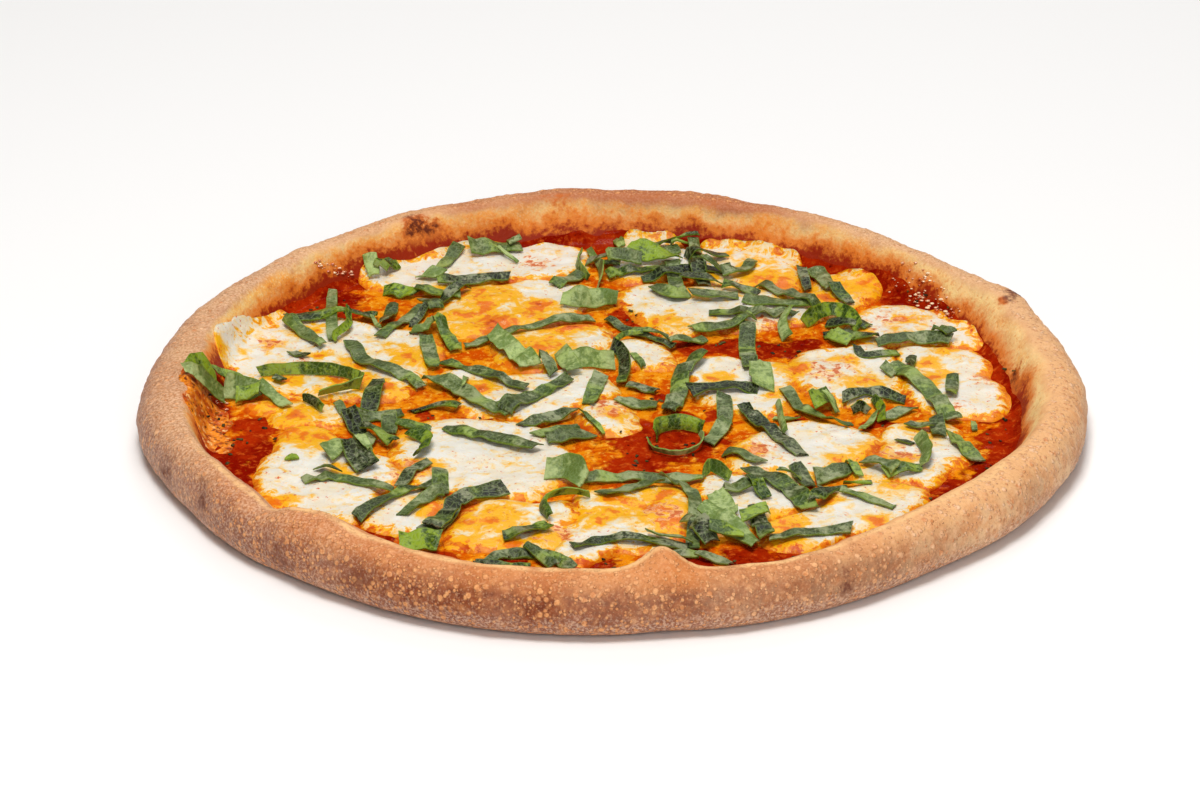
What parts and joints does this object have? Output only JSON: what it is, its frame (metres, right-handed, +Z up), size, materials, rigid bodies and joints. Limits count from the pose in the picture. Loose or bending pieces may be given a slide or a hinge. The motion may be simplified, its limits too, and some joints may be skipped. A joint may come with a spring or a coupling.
{
  "type": "margherita pizza",
  "caption": "Whole round pizza with a raised browned rim, tomato sauce, melted mozzarella pools and scattered ribbons of fresh basil.",
  "frame": {"origin": "middle of the flat underside", "axes": "+Z up out of the toppings, -Y towards the front of the pizza, +X to its right seen from the front"},
  "size_m": [0.3525, 0.3539, 0.0265],
  "materials": {
    "crust": "baked dough: golden brown with lighter blisters, matt and slightly floury",
    "sauce": "cooked tomato sauce: deep red to orange, wet and pulpy",
    "mozzarella": "melted fresh mozzarella: creamy white with orange oil and yellow butterfat, moist",
    "basil": "fresh basil cut in ribbons: dark green, satin, with a paler underside"
  },
  "bodies": {
    "root": {"crust": "crust", "tomato_sauce": "sauce", "mozzarella_centre": "mozzarella", "mozzarella_centre_brown": "mozzarella", "mozzarella_centre_east": "mozzarella", "mozzarella_centre_north": "mozzarella", "mozzarella_centre_small": "mozzarella", "mozzarella_centre_west": "mozzarella", "mozzarella_east": "mozzarella", "mozzarella_east_north": "mozzarella", "mozzarella_east_south": "mozzarella", "mozzarella_east_southeast": "mozzarella", "mozzarella_mid_east": "mozzarella", "mozzarella_mid_northwest": "mozzarella", "mozzarella_north": "mozzarella", "mozzarella_northeast": "mozzarella", "mozzarella_northwest": "mozzarella", "mozzarella_south": "mozzarella", "mozzarella_south_left": "mozzarella", "mozzarella_southeast": "mozzarella", "mozzarella_southeast_inner": "mozzarella", "mozzarella_southwest": "mozzarella", "mozzarella_southwest_rim": "mozzarella", "mozzarella_west": "mozzarella", "mozzarella_west_south": "mozzarella", "mozzarella_west_strip": "mozzarella", "mozzarella_yellow_northeast": "mozzarella", "basil_ribbon_1": "basil", "basil_ribbon_2": "basil", "basil_ribbon_3": "basil", "basil_ribbon_4": "basil", "basil_ribbon_5": "basil", "basil_ribbon_6": "basil", "basil_ribbon_7": "basil", "basil_ribbon_8": "basil", "basil_ribbon_9": "basil", "basil_ribbon_10": "basil", "basil_ribbon_11": "basil", "basil_ribbon_12": "basil", "basil_ribbon_13": "basil", "basil_ribbon_14": "basil", "basil_ribbon_15": "basil", "basil_ribbon_16": "basil", "basil_ribbon_17": "basil", "basil_ribbon_18": "basil", "basil_ribbon_19": "basil", "basil_ribbon_20": "basil", "basil_ribbon_21": "basil", "basil_ribbon_22": "basil", "basil_ribbon_23": "basil", "basil_ribbon_24": "basil", "basil_ribbon_25": "basil", "basil_ribbon_26": "basil", "basil_ribbon_27": "basil", "basil_ribbon_28": "basil", "basil_ribbon_29": "basil", "basil_ribbon_30": "basil", "basil_ribbon_31": "basil", "basil_ribbon_32": "basil", "basil_ribbon_33": "basil"}
  },
  "joints": []
}
